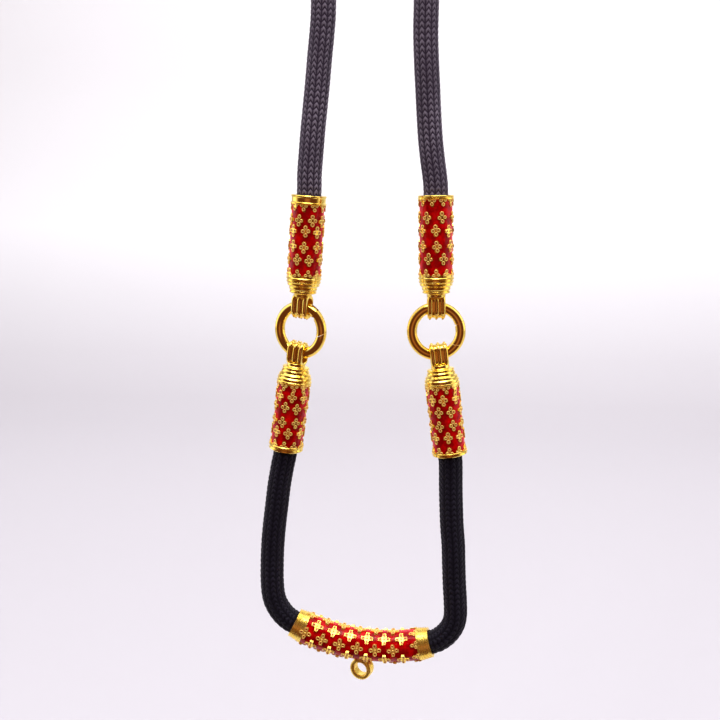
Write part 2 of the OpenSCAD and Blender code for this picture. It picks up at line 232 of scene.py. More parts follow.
class NecklaceCords(bpy.types.PropertyGroup):
    """Sizes and colours of the braids."""

    diameter: bpy.props.FloatProperty(
        name="Diameter", description="Thickness of the round braid over its stitches",
        default=0.00718, min=0.005, max=0.008, unit="LENGTH")
    pitch: bpy.props.FloatProperty(
        name="Stitch pitch", description="Length along the cord from one stitch to the next",
        default=0.0016, min=0.001, max=0.003, unit="LENGTH")
    depth: bpy.props.FloatProperty(
        name="Stitch depth", description="How deep the grooves between stitches lie",
        default=0.0005, min=0.0, max=0.0008, unit="LENGTH")
    colour: bpy.props.FloatVectorProperty(
        name="Yarn", description="Colour of the black yarn", subtype="COLOR",
        default=(0.003, 0.0024, 0.0052), min=0.0, max=1.0)
    # Painted highlight: the lighter colour given to each stitch's crown
    sheen: bpy.props.FloatVectorProperty(
        name="Yarn light", description="Colour of the yarn on a stitch's crown", subtype="COLOR",
        default=(0.017, 0.0145, 0.0255), min=0.0, max=1.0)
    # The neck cord's yarn is the black yarn painted lighter: partly painted light, where that cord
    # catches more light, and partly worn flecks
    neck_yarn: bpy.props.FloatVectorProperty(
        name="Neck yarn", description="Colour of the worn yarn of the neck cord", subtype="COLOR",
        default=(0.021, 0.0135, 0.025), min=0.0, max=1.0)
    # Painted highlight on the neck cord's stitch crowns, broken by worn flecks
    neck_sheen: bpy.props.FloatVectorProperty(
        name="Neck yarn light", description="Colour of a stitch's crown on the neck cord",
        subtype="COLOR", default=(0.235, 0.2, 0.252), min=0.0, max=1.0)


class NecklaceMetal(bpy.types.PropertyGroup):
    """Colours of the gold plating and the size of the petal wire."""

    gold: bpy.props.FloatVectorProperty(
        name="Gold", description="Bright plating", subtype="COLOR",
        default=(1.0, 0.78, 0.17), min=0.0, max=1.0)
    deep_gold: bpy.props.FloatVectorProperty(
        name="Deep gold", description="Plating where it is thick and dull", subtype="COLOR",
        default=(0.97, 0.64, 0.08), min=0.0, max=1.0)
    pale_gold: bpy.props.FloatVectorProperty(
        name="Pale gold", description="Plating on the petal wire", subtype="COLOR",
        default=(1.0, 0.56, 0.15), min=0.0, max=1.0)
    # Painted shade: gold painted darker in the hollow of a petal
    pit_shade: bpy.props.FloatVectorProperty(
        name="Pit", description="Darkened gold in the hollow of a petal", subtype="COLOR",
        default=(0.32, 0.06, 0.008), min=0.0, max=1.0)
    deep_pit: bpy.props.FloatVectorProperty(
        name="Deep pit", description="Darkened gold where red has run into a petal",
        subtype="COLOR", default=(0.2, 0.004, 0.003), min=0.0, max=1.0)
    petal: bpy.props.FloatProperty(
        name="Petal wire", description="Radius of the cast wire of a petal ring",
        default=0.00015, min=0.00008, max=0.0003, unit="LENGTH")


class NecklaceEnamel(bpy.types.PropertyGroup):
    """Colours of the enamel."""

    red: bpy.props.FloatVectorProperty(
        name="Red", description="Enamel where it is thick", subtype="COLOR",
        default=(0.2, 0.0, 0.0004), min=0.0, max=1.0)
    bright: bpy.props.FloatVectorProperty(
        name="Bright red", description="Enamel where it is thin over the metal", subtype="COLOR",
        default=(0.5, 0.001, 0.001), min=0.0, max=1.0)
    # Painted reflection: the lighter, pinker red that the enamel is given at a slant
    rim_sheen: bpy.props.FloatVectorProperty(
        name="Rim red", description="Enamel seen at a slant", subtype="COLOR",
        default=(0.85, 0.035, 0.055), min=0.0, max=1.0)


class NecklaceStage(bpy.types.PropertyGroup):
    """Paper, lamps and camera."""

    lens: bpy.props.FloatProperty(
        name="Lens", description="Focal length on a 36 mm sensor, in millimetres", default=55.0,
        min=10.0, max=200.0, unit="CAMERA")
    backdrop: bpy.props.FloatVectorProperty(
        name="Backdrop", description="Colour of the plain wall", subtype="COLOR",
        default=(0.745, 0.75, 0.775), min=0.0, max=1.0)
    # Painted shade: the floor is given a darker colour than the wall, against the stronger light
    # that falls on it
    floor: bpy.props.FloatVectorProperty(
        name="Floor", description="Colour of the plain floor", subtype="COLOR",
        default=(0.455, 0.44, 0.468), min=0.0, max=1.0)
    soft: bpy.props.FloatProperty(
        name="Light", description="Strength of the soft lamps", default=1.0, min=0.0, max=4.0)


# Places

def turn_z(deg):
    """Matrix that turns about the vertical."""
    a = np.radians(deg)
    return np.array([[np.cos(a), -np.sin(a), 0], [np.sin(a), np.cos(a), 0], [0, 0, 1]])


def turn_y(deg):
    """Matrix that turns about Y, from Z towards X."""
    a = np.radians(deg)
    return np.array([[np.cos(a), 0, np.sin(a)], [0, 1, 0], [-np.sin(a), 0, np.cos(a)]])


def cap_frame(name):
    """Matrix and place of a cap: its own z runs from the ring's centre to the mouth."""
    ring, lean, reach = CAPS[name][:3]
    x, z, yaw = RINGS[ring]
    return turn_z(yaw) @ turn_y(lean), np.array([x, 0, z]), reach


def cap_point(name, back):
    """Point on a cap's axis, that far behind its mouth, in mm."""
    matrix, place, reach = cap_frame(name)
    return tuple(place + matrix @ np.array([0, 0, reach - back]))


def tube_points(count):
    """Points along the middle of the centre tube, in mm."""
    x, z, bend, first, last = TUBE
    a = np.radians(np.linspace(first, last, count))
    return [tuple(p) for p in np.stack([x + bend * np.sin(a), 0 * a, z - bend * np.cos(a)], 1)]


def cord_route(start, middle, end):
    """Points of a cord from its glued end in one cap, along its route, into another cap."""
    return [cap_point(start, SOCKET), cap_point(start, 0), *middle,
            cap_point(end, 0), cap_point(end, SOCKET)]


def smooth_line(points, step):
    """Points an equal step apart on the curve that runs through the given points.

    Each stretch is the usual cubic through four neighbours: the two ends of the stretch and
    the slopes that join each end's neighbours. Given back with the points is how far along
    the curve each one lies.
    """
    p = np.array(points, float)
    p = np.vstack([2 * p[0] - p[1], p, 2 * p[-1] - p[-2]])
    t = np.linspace(0, 1, CURVE_STEPS, endpoint=False)[None, :, None]
    a, b, c, d = (p[i:len(p) - 3 + i, None, :] for i in range(4))
    curve = 0.5 * (2 * b + (c - a) * t + (2 * a - 5 * b + 4 * c - d) * t ** 2
                   + (3 * b - a - 3 * c + d) * t ** 3)
    curve = np.vstack([curve.reshape(-1, 3), p[-2]])
    along = np.concatenate([[0], np.cumsum(np.linalg.norm(np.diff(curve, axis=0), axis=1))])
    s = np.linspace(0, along[-1], int(round(along[-1] / step)) + 1)
    return np.stack([np.interp(s, along, curve[:, k]) for k in range(3)], 1), s


# Shapes

def full_turn(steps):
    """Even steps of a full turn, in radians."""
    return 2 * np.pi * np.arange(steps) / steps


def around(turns, side, rise, across=1.0, along=1.0):
    """Ways out all round each place.

    Each is across times the turn's cosine along side, plus along times its sine along rise.
    """
    return (across * np.cos(turns)[None, :, None] * side[:, None, :]
            + along * np.sin(turns)[None, :, None] * rise[:, None, :])


def grid_quads(rows, columns, round_rows=False, round_columns=False):
    """Quads of a grid of vertices that stand row by row.

    Each joins a vertex, its neighbour in the row and the same two in the next row. Where
    rows or columns go round, the last of them has the first for its next.
    """
    i, j = np.meshgrid(np.arange(rows if round_rows else rows - 1),
                       np.arange(columns if round_columns else columns - 1), indexing="ij")
    ahead = (i + 1) % rows * columns
    beside = (j + 1) % columns
    quads = np.stack([i * columns + j, i * columns + beside, ahead + beside, ahead + j], -1)
    return quads.reshape(-1, 4)


def fan(middle, ring):
    """Quads from one vertex to a ring of vertices, each over two of the ring's edges."""
    k = np.arange(0, len(ring), 2)
    return np.stack([np.full(len(k), middle), ring[k], ring[k + 1], ring[(k + 2) % len(ring)]], 1)


def repeated(quads, count, size):
    """The quads of one small shape, again for each of count shapes of size vertices."""
    return (quads[None] + (np.arange(count) * size)[:, None, None]).reshape(-1, 4)


def put_mesh(name, verts, quads, uv=None):
    """A new object of these vertices and quads, with a UV map where one is given."""
    mesh = bpy.data.meshes.new(name)
    mesh.vertices.add(len(verts))
    mesh.vertices.foreach_set("co", np.asarray(verts, np.float32).ravel())
    quads = np.asarray(quads, np.int32)
    mesh.loops.add(quads.size)
    mesh.loops.foreach_set("vertex_index", quads.ravel())
    mesh.polygons.add(len(quads))
    mesh.polygons.foreach_set("loop_start", np.arange(0, quads.size, 4, dtype=np.int32))
    mesh.polygons.foreach_set("use_smooth", np.ones(len(quads), bool))
    if uv is not None:
        layer = mesh.uv_layers.new(name="UVMap")
        layer.data.foreach_set("uv", np.asarray(uv, np.float32).reshape(-1))
    mesh.update(calc_edges=True)
    mesh.validate()
    piece = bpy.data.objects.new(name, mesh)
    bpy.context.scene.collection.objects.link(piece)
    return piece


def braid(name, points, sizes):
    """A round braid along a route.

    The angle round the cord is cut into columns of stitches, and x says how far a point is
    from the middle of its column, from 0 to 1. The phase is the length along the cord in
    pitches plus x times the climb, which is most of the cord's rise with a slight waver, so
    that every stitch is an arrowhead that points up. The radius is the cord's radius less
    the stitch depth, plus the depth times the stitch's crown times the column's crown: each
    is the square root of one less most of the square of the place across it. The map holds
    the column and the phase. Given back are the piece, its middle line and its length.
    """
    line, s = smooth_line(points, BRAID_STEP)
    line, s = line * MM, s * MM
    ahead = np.gradient(line, axis=0)
    ahead /= np.linalg.norm(ahead, axis=1)[:, None]
    side = np.cross([0.0, 1.0, 0.0], ahead)
    side /= np.linalg.norm(side, axis=1)[:, None]
    up = np.cross(ahead, side)
    rows, n = len(line), COLUMNS * FACETS
    x = np.abs(np.arange(n) % FACETS - FACETS / 2) / (FACETS / 2)
    climb = CLIMB * ahead[:, 2] + WAVER * np.sin(s * WAVER_RATE)
    phase = s[:, None] / sizes.pitch + climb[:, None] * x[None, :]
    q = phase - np.floor(phase) - 0.5
    stitch = np.sqrt(1 - STITCH_ROUND * (2 * q) ** 2)
    crown = np.sqrt(1 - COLUMN_ROUND * x ** 2)[None, :]
    r = sizes.diameter / 2 - sizes.depth + sizes.depth * stitch * crown
    verts = line[:, None, :] + r[..., None] * around(full_turn(n), side, up)
    quads = grid_quads(rows, n, round_columns=True)
    u = (quads[:, :1] % n + [0, 1, 1, 0]) / FACETS
    uv = np.stack([u, phase.reshape(-1)[quads]], -1).reshape(-1, 2)
    ring = np.arange(n)
    near = fan(rows * n, ring)[:, FLIP]
    far = fan(rows * n + 1, (rows - 1) * n + ring)
    verts = np.vstack([verts.reshape(-1, 3), line[0], line[-1]])
    uv = np.vstack([uv, np.zeros((near.size + far.size, 2))])
    return put_mesh(name, verts, np.vstack([quads, near, far]), uv), line, float(s[-1])


def turned(profile, steps):
    """The closed shell that a profile, radius and height of a closed line, sweeps about z."""
    r, z = np.array(profile).T
    u = full_turn(steps)
    verts = np.stack([np.outer(np.cos(u), r), np.outer(np.sin(u), r), np.tile(z, (steps, 1))], -1)
    quads = grid_quads(steps, len(profile), round_rows=True, round_columns=True)
    return verts.reshape(-1, 3), quads


def petal_rings(places, sides, outs, sizes, wire):
    """Many small closed rings of round wire in one mesh.

    Each ring is an ellipse with half axes sizes about its place, in the plane square to its
    out direction, and the wire's round section is carried along it.
    """
    u = full_turn(RING_STEPS)
    v = full_turn(WIRE_STEPS)
    rise = np.cross(outs, sides)
    ring = around(u, sides, rise, sizes[:, 0, None, None], sizes[:, 1, None, None])
    away = around(u, sides, rise)
    verts = (places[:, None, None, :] + ring[:, :, None, :]
             + wire * (np.cos(v)[None, None, :, None] * away[:, :, None, :]
                       + np.sin(v)[None, None, :, None] * outs[:, None, None, :]))
    one = grid_quads(RING_STEPS, WIRE_STEPS, round_rows=True, round_columns=True)[:, FLIP]
    return verts.reshape(-1, 3), repeated(one, len(places), RING_STEPS * WIRE_STEPS)


def beads(places, sides, outs, radius, rise):
    """Many small round domes in one mesh.

    Each is half a ball, squashed along its out direction: circles of points at the bead's
    levels, closed by a point at its top and one half a rise under its place.
    """
    t = np.radians(BEAD_LEVELS)
    levels = len(t)
    circle = around(full_turn(BEAD_STEPS), sides, np.cross(outs, sides))
    verts = (places[:, None, None, :]
             + radius * np.cos(t)[None, None, :, None] * circle[:, :, None, :]
             + rise * np.sin(t)[None, None, :, None] * outs[:, None, None, :])
    tops = places + rise * outs
    feet = places - 0.5 * rise * outs
    verts = np.concatenate([verts.reshape(len(places), -1, 3), tops[:, None], feet[:, None]], 1)
    top = BEAD_STEPS * levels
    low = np.arange(BEAD_STEPS) * levels
    one = np.vstack([grid_quads(BEAD_STEPS, levels, round_rows=True)[:, FLIP],
                     fan(top, low + levels - 1), fan(top + 1, low)[:, FLIP]])
    return verts.reshape(-1, 3), repeated(one, len(places), top + 2)


def hollows(places, sides, outs, sizes, deep):
    """Many small round dishes in one mesh.

    Each is a disc with half axes sizes about its place, its middle sunk by deep against out.
    """
    edge = places[:, None, :] + around(full_turn(PIT_STEPS), sides, np.cross(outs, sides),
                                       sizes[:, 0, None, None], sizes[:, 1, None, None])
    verts = np.concatenate([edge, (places - deep * outs)[:, None]], 1)
    one = fan(PIT_STEPS, np.arange(PIT_STEPS))
    return verts.reshape(-1, 3), repeated(one, len(places), PIT_STEPS + 1)


def paper_sheet():
    """Studio paper: one profile of y and z, carried along x.

    Up to the bend it lies flat, the bend is a quarter circle, and then the wall goes straight
    up. The share t of the profile runs from 0 at the front edge to 1 at the wall's top.
    """
    first, last = BEND_SHARES
    x = np.linspace(-PAPER_HALF, PAPER_HALF, PAPER_COLUMNS)
    t = np.linspace(0, 1, PAPER_ROWS)
    turn = np.clip((t - first) / (last - first), 0, 1) * np.pi / 2
    flat = PAPER_FRONT + t / first * (BEND_START - PAPER_FRONT)
    y = np.where(t < first, flat, BEND_START + BEND_RADIUS * np.sin(turn))
    z = np.where(t < first, 0.0, BEND_RADIUS * (1 - np.cos(turn)))
    z = z + np.clip(t - last, 0, 1) * WALL_RISE + FLOOR_LEVEL
    verts = np.stack([np.tile(x, len(t)), np.repeat(y, len(x)), np.repeat(z, len(x))], 1)
    return verts, grid_quads(len(t), len(x))


def join_parts(parts):
    """Vertices and quads of several shapes as one."""
    count, verts, quads = 0, [], []
    for v, q in parts:
        verts.append(v)
        quads.append(q + count)
        count += len(v)
    return np.vstack(verts), np.vstack(quads)


def flower_rings(flowers, spots, wire):
    """Petal rings and their pits on many flowers.

    Spots holds, for each petal, its place across and along the flower and the two half axes
    of its ring. As in a casting, each flower is turned a little, and its petals stray and
    vary in size.
    """
    middle, side, rise, out = flowers
    chance = np.random.default_rng(len(middle))
    tilt = np.radians(chance.uniform(-FLOWER_TILT, FLOWER_TILT, len(middle)))[:, None]
    side, rise = (np.cos(tilt) * side + np.sin(tilt) * rise,
                  np.cos(tilt) * rise - np.sin(tilt) * side)
    stray = chance.uniform(-PETAL_STRAY, PETAL_STRAY, (len(spots), 2, len(middle), 1))
    places = np.vstack([middle + (x + dx) * side + (y + dy) * rise
                        for (x, y, _, _), (dx, dy) in zip(spots, stray)])
    sides = np.tile(side, (len(spots), 1))
    outs = np.tile(out, (len(spots), 1))
    sizes = np.repeat([spot[2:] for spot in spots], len(middle), 0)
    sizes = sizes * chance.uniform(*PETAL_SIZES, (len(sizes), 1))
    return (petal_rings(places, sides, outs, sizes, wire),
            hollows(places + PIT_LIFT * outs, sides, outs, sizes - PIT_INSET, PIT_DEPTH))


def put_petals(name, rings, knobs, gold, shade):
    """The petal wire with its beads as one piece and the pits, in their painted shade, as another.
    """
    wires, pits = zip(*rings)
    for label, parts, material in (("petals_", [*wires, *knobs], gold), ("pits_", pits, shade)):
        verts, quads = join_parts(parts)
        settle(put_mesh(label + name, verts * MM, quads), material)


# Finishes

def add_node(tree, kind, **settings):
    """A new node with the given settings."""
    made = tree.nodes.new(kind)
    for key, value in settings.items():
        setattr(made, key, value)
    return made


def set_inputs(node, values):
    """Sets inputs that no other node feeds."""
    for label, value in values.items():
        node.inputs[label].default_value = value


def sum_up(tree, operation, *values):
    """A maths node on values that are each a socket or a number."""
    made = add_node(tree, "ShaderNodeMath", operation=operation)
    for slot, value in enumerate(values):
        if isinstance(value, (int, float)):
            made.inputs[slot].default_value = value
        else:
            tree.links.new(value, made.inputs[slot])
    return made.outputs[0]


def spread(tree, value, low, high, to_low=0.0, to_high=1.0):
    """Maps a value from one range onto another, kept inside it."""
    made = add_node(tree, "ShaderNodeMapRange", clamp=True)
    tree.links.new(value, made.inputs[0])
    for slot, number in enumerate((low, high, to_low, to_high)):
        made.inputs[slot + 1].default_value = number
    return made.outputs[0]


def blend_colour(tree, factor, a, b):
    """Mixes two colours, each a socket or plain numbers, by a value."""
    made = add_node(tree, "ShaderNodeMix", data_type="RGBA")
    tree.links.new(factor, made.inputs[0])
    for slot, colour in ((6, a), (7, b)):
        if isinstance(colour, bpy.types.NodeSocket):
            tree.links.new(colour, made.inputs[slot])
        else:
            made.inputs[slot].default_value = (*colour, 1.0)
    return made.outputs[2]


def bump(tree, shader, height, distance):
    """Feeds a height to the shader's normal; distance in metres is what a height of one is."""
    made = add_node(tree, "ShaderNodeBump")
    made.inputs["Distance"].default_value = distance
    tree.links.new(height, made.inputs["Height"])
    tree.links.new(made.outputs[0], shader.inputs["Normal"])


def skin_group():
    """Uneven skin of something cast, poured or spun, as a group that all finishes share.

    Broad is a slow noise, Fine a quick one, Height their sum, the fine one at a fifth.
    """
    name = "uneven_skin"
    if name in bpy.data.node_groups:
        return bpy.data.node_groups[name]
    tree = bpy.data.node_groups.new(name, "ShaderNodeTree")
    sockets = tree.interface
    for label, scale in (("Broad scale", 300.0), ("Fine scale", 2500.0)):
        socket = sockets.new_socket(name=label, in_out="INPUT", socket_type="NodeSocketFloat")
        socket.default_value = scale
    for label in ("Broad", "Fine", "Height"):
        sockets.new_socket(name=label, in_out="OUTPUT", socket_type="NodeSocketFloat")
    come = tree.nodes.new("NodeGroupInput")
    leave = tree.nodes.new("NodeGroupOutput")
    place = add_node(tree, "ShaderNodeTexCoord")
    broad = add_node(tree, "ShaderNodeTexNoise")
    fine = add_node(tree, "ShaderNodeTexNoise")
    for noise, socket, detail in ((broad, 0, 2.0), (fine, 1, 3.0)):
        tree.links.new(place.outputs["Object"], noise.inputs["Vector"])
        tree.links.new(come.outputs[socket], noise.inputs["Scale"])
        noise.inputs["Detail"].default_value = detail
    small = sum_up(tree, "MULTIPLY", fine.outputs[0], 0.2)
    tree.links.new(broad.outputs[0], leave.inputs["Broad"])
    tree.links.new(fine.outputs[0], leave.inputs["Fine"])
    tree.links.new(sum_up(tree, "ADD", broad.outputs[0], small), leave.inputs["Height"])
    return tree


def add_skin(tree, broad, fine):
    """Outputs of the uneven skin, placed in a material with the scales of its two noises."""
    skin = add_node(tree, "ShaderNodeGroup", node_tree=skin_group())
    set_inputs(skin, {"Broad scale": broad, "Fine scale": fine})
    return skin.outputs


def new_material(name):
    """A material with only its shader and output."""
    made = bpy.data.materials.new(name)
    made.use_nodes = True
    tree = made.node_tree
    tree.nodes.clear()
    shader = add_node(tree, "ShaderNodeBsdfPrincipled")
    out = add_node(tree, "ShaderNodeOutputMaterial")
    tree.links.new(shader.outputs[0], out.inputs[0])
    return made, tree, shader


def gold_finish(name, tones, dull, broad, relief, metal=1.0):
    """Polished gold plating with the slight waves and dull spots of a casting, and a faint painted
    glow as emission.

    Tones are its two colours, dull its roughness, broad the scale of its waves, relief their
    height in metres and metal how metallic it is.
    """
    made, tree, shader = new_material(name)
    skin = add_skin(tree, broad, fine=3500.0)
    tone = spread(tree, skin["Broad"], 0.35, 0.68)
    tree.links.new(blend_colour(tree, tone, *tones), shader.inputs["Base Color"])
    rough = spread(tree, skin["Fine"], 0.3, 0.75, dull * 0.75, dull * 1.5)
    tree.links.new(rough, shader.inputs["Roughness"])
    # Metal, with a faint painted glow: emission that stands in for light thrown to and fro in
    # narrow openings
    set_inputs(shader, {"Metallic": metal, "Emission Color": GLOW,
                        "Emission Strength": GLOW_STRENGTH})
    bump(tree, shader, skin["Height"], relief)
    return made


def enamel_finish(name, look):
    """Glossy poured enamel.

    The colour goes from deep to bright where the glass is thin, and a painted reflection makes it
    lighter at a slant.
    """
    made, tree, shader = new_material(name)
    skin = add_skin(tree, broad=420.0, fine=1800.0)
    thin = spread(tree, skin["Height"], 0.5, 0.8)
    edge = add_node(tree, "ShaderNodeLayerWeight")
    edge.inputs["Blend"].default_value = 0.35
    # Painted reflection: towards a slant the colour goes over into the lighter rim red
    slant = spread(tree, edge.outputs["Facing"], 0.25, 0.85)
    depth = blend_colour(tree, thin, look.red, look.bright)
    tree.links.new(blend_colour(tree, slant, depth, look.rim_sheen), shader.inputs["Base Color"])
    set_inputs(shader, {"Roughness": 0.22, "IOR": 1.45, "Specular IOR Level": 0.14,
                        "Coat Weight": 0.05, "Coat Roughness": 0.06})
    bump(tree, shader, skin["Height"], distance=0.00014)
    return made


def yarn_finish(name, yarn, light):
    """Black braided yarn.

    From the cord's own map: x is the place across a column and q the place across a stitch, the
    stitch's edge keeps the dark yarn colour, its crown is painted lighter as a painted highlight
    broken by worn flecks, and fine threads run along it.
    """
    made, tree, shader = new_material(name)
    uv = add_node(tree, "ShaderNodeUVMap", uv_map="UVMap")
    parts = add_node(tree, "ShaderNodeSeparateXYZ")
    tree.links.new(uv.outputs[0], parts.inputs[0])
    column, phase = parts.outputs[0], parts.outputs[1]
    x = sum_up(tree, "MULTIPLY_ADD", sum_up(tree, "FRACT", column), 2.0, -1.0)
    q = sum_up(tree, "SUBTRACT", sum_up(tree, "FRACT", phase), 0.5)
    across = sum_up(tree, "POWER", sum_up(tree, "MULTIPLY", sum_up(tree, "ABSOLUTE", q), 2.0), 2.0)
    beside = sum_up(tree, "POWER", sum_up(tree, "ABSOLUTE", x), 2.0)
    border = sum_up(tree, "MULTIPLY", beside, 0.72)
    crown = sum_up(tree, "SUBTRACT", 1.0, sum_up(tree, "MAXIMUM", across, border))
    threads = sum_up(tree, "SINE", sum_up(tree, "MULTIPLY", phase, 2 * np.pi * THREADS))
    skin = add_skin(tree, broad=90.0, fine=5000.0)
    fuzz = spread(tree, skin["Fine"], 0.3, 0.7, 0.35, 1.0)
    # Painted highlight on each stitch's crown, broken at random by worn flecks
    worn_and_lit = sum_up(tree, "MULTIPLY", spread(tree, crown, 0.4, 0.95), fuzz)
    worn_and_lit = sum_up(tree, "MULTIPLY", worn_and_lit, spread(tree, skin["Broad"], 0.3, 0.7, 0.55, 1.0))
    tree.links.new(blend_colour(tree, worn_and_lit, yarn, light), shader.inputs["Base Color"])
    set_inputs(shader, {"Roughness": 0.62, "Specular IOR Level": 0.14, "Sheen Weight": 0.05,
                        "Sheen Roughness": 0.45, "Sheen Tint": (0.8, 0.72, 0.85, 1.0)})
    height = sum_up(tree, "ADD", sum_up(tree, "MULTIPLY", crown, 0.7),
                    sum_up(tree, "MULTIPLY", threads, 0.09))
    height = sum_up(tree, "ADD", height, sum_up(tree, "MULTIPLY", skin["Fine"], 0.25))
    bump(tree, shader, height, distance=0.00018)
    return made


def paper_finish(look):
    """Dull paper whose colour goes from the floor's to the wall's with its height; the floor's
    darker colour is painted shade against the stronger light that falls on the floor.
    """
    made, tree, shader = new_material("paper")
    place = add_node(tree, "ShaderNodeTexCoord")
    parts = add_node(tree, "ShaderNodeSeparateXYZ")
    tree.links.new(place.outputs["Object"], parts.inputs[0])
    high = spread(tree, parts.outputs[2], FLOOR_LEVEL, WALL_LEVEL)
    tree.links.new(blend_colour(tree, high, look.floor, look.backdrop), shader.inputs["Base Color"])
    set_inputs(shader, {"Roughness": 0.9, "Specular IOR Level": 0.1})
    return made


def room_light():
    """The room that lights the necklace and that its metal mirrors.

    It is dark towards the viewer, with a warm core, goes over smoothly into bright sides,
    and is plain where the camera sees it. Facing is the cosine to the viewer's direction.
    """
    world = bpy.data.worlds.new("room")
    world.use_nodes = True
    tree = world.node_tree
    place = add_node(tree, "ShaderNodeTexCoord")
    ahead = add_node(tree, "ShaderNodeVectorMath", operation="DOT_PRODUCT")
    tree.links.new(place.outputs["Generated"], ahead.inputs[0])
    ahead.inputs[1].default_value = VIEWER_SIDE
    facing = ahead.outputs["Value"]
    side = spread(tree, facing, *SIDE_FADE)
    side.node.interpolation_type = "SMOOTHSTEP"
    core = spread(tree, facing, *CORE_FADE)
    room = blend_colour(tree, side, blend_colour(tree, core, ROOM_DARK, ROOM_CORE), ROOM_BRIGHT)
    seen = add_node(tree, "ShaderNodeLightPath").outputs["Is Camera Ray"]
    tree.links.new(blend_colour(tree, seen, room, ROOM_SEEN),
                   tree.nodes["Background"].inputs["Color"])
    return world


def finish_node(name, material):
    """Gives a solid of the part its finish."""
    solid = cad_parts[name]
    solid.data.materials.clear()
    solid.data.materials.append(material)


def settle(piece, material):
    """Gives a new piece its finish and the body that it moves with."""
    piece.data.materials.append(material)
    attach(piece, BODY)


# Steps

class NECKLACE_OT_camera(bpy.types.Operator):
    """Set the camera at the photograph's angle"""

    bl_idname = "necklace.camera"
    bl_label = "Camera"

    def execute(self, context):
        data = bpy.data.cameras.new("camera")
        data.lens = context.scene.necklace_stage.lens
        data.sensor_width = SENSOR
        data.sensor_fit = "HORIZONTAL"
        data.clip_start = 0.01
        data.clip_end = 20.0
        camera = bpy.data.objects.new("camera", data)
        camera.location = CAMERA_PLACE
        camera.rotation_euler = np.radians(CAMERA_TURN)
        context.scene.collection.objects.link(camera)
        context.scene.camera = camera
        return {"FINISHED"}


class NECKLACE_OT_cords(bpy.types.Operator):
    """Braid the neck cord and the lower cord"""

    bl_idname = "necklace.cords"
    bl_label = "Cords"

    def execute(self, context):
        sizes = context.scene.necklace_cords
        black = yarn_finish("black_yarn", sizes.colour, sizes.sheen)
        # The neck cord gets a lighter copy of the yarn: partly painted light, where it catches more
        # light, and partly worn flecks
        worn_and_lit = yarn_finish("worn_and_lit_yarn", sizes.neck_yarn, sizes.neck_sheen)
        neck = cord_route("upper_left", NECK_LEFT + NECK_TOP + NECK_RIGHT, "upper_right")
        low = cord_route("lower_left", LOWER_LEFT + tube_points(TUBE_POINTS) + LOWER_RIGHT,
                         "lower_right")
        for name, node, points, mouth, yarn in (
                ("neck_braid", "neck_cord", neck, "upper_left", worn_and_lit),
                ("lower_braid", "lower_cord", low, "lower_left", black)):
            piece, line, length = braid(name, points, sizes)
            settle(piece, yarn)
            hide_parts(node)
        return {"FINISHED"}


class NECKLACE_OT_castings(bpy.types.Operator):
    """Plate the caps with their feet, the tube, the rings and their gates"""

    bl_idname = "necklace.castings"
    bl_label = "Castings"

    def execute(self, context):
        look = context.scene.necklace_metal
        plating = (look.gold, look.deep_gold)
        cast = gold_finish("cast_gold", plating, dull=0.15, broad=260.0, relief=0.00005)
        wire = gold_finish("wire_gold", plating, dull=0.10, broad=120.0, relief=0.00003)
        soft = gold_finish("tube_gold", plating, dull=0.26, broad=520.0, relief=0.00014, metal=0.94)
        verts, quads = turned(FOOT, FOOT_STEPS)
        for name in CAPS:
            matrix, place, _ = cap_frame(name)
            foot = put_mesh("foot_" + name, (place + verts @ matrix.T) * MM, quads)
            settle(foot, cast)
            finish_node("cap_" + name, cast)
        finish_node("centre_tube", soft)
        for side in RINGS:
            finish_node("ring_" + side, wire)
            finish_node("gate_" + side, wire)
        return {"FINISHED"}


class NECKLACE_OT_enamel(bpy.types.Operator):
    """Glaze the caps and the tube"""

    bl_idname = "necklace.enamel"
    bl_label = "Enamel"

    def execute(self, context):
        glaze = enamel_finish("red_enamel", context.scene.necklace_enamel)
        for name in CAPS:
            finish_node("enamel_" + name, glaze)
        finish_node("centre_enamel", glaze)
        return {"FINISHED"}


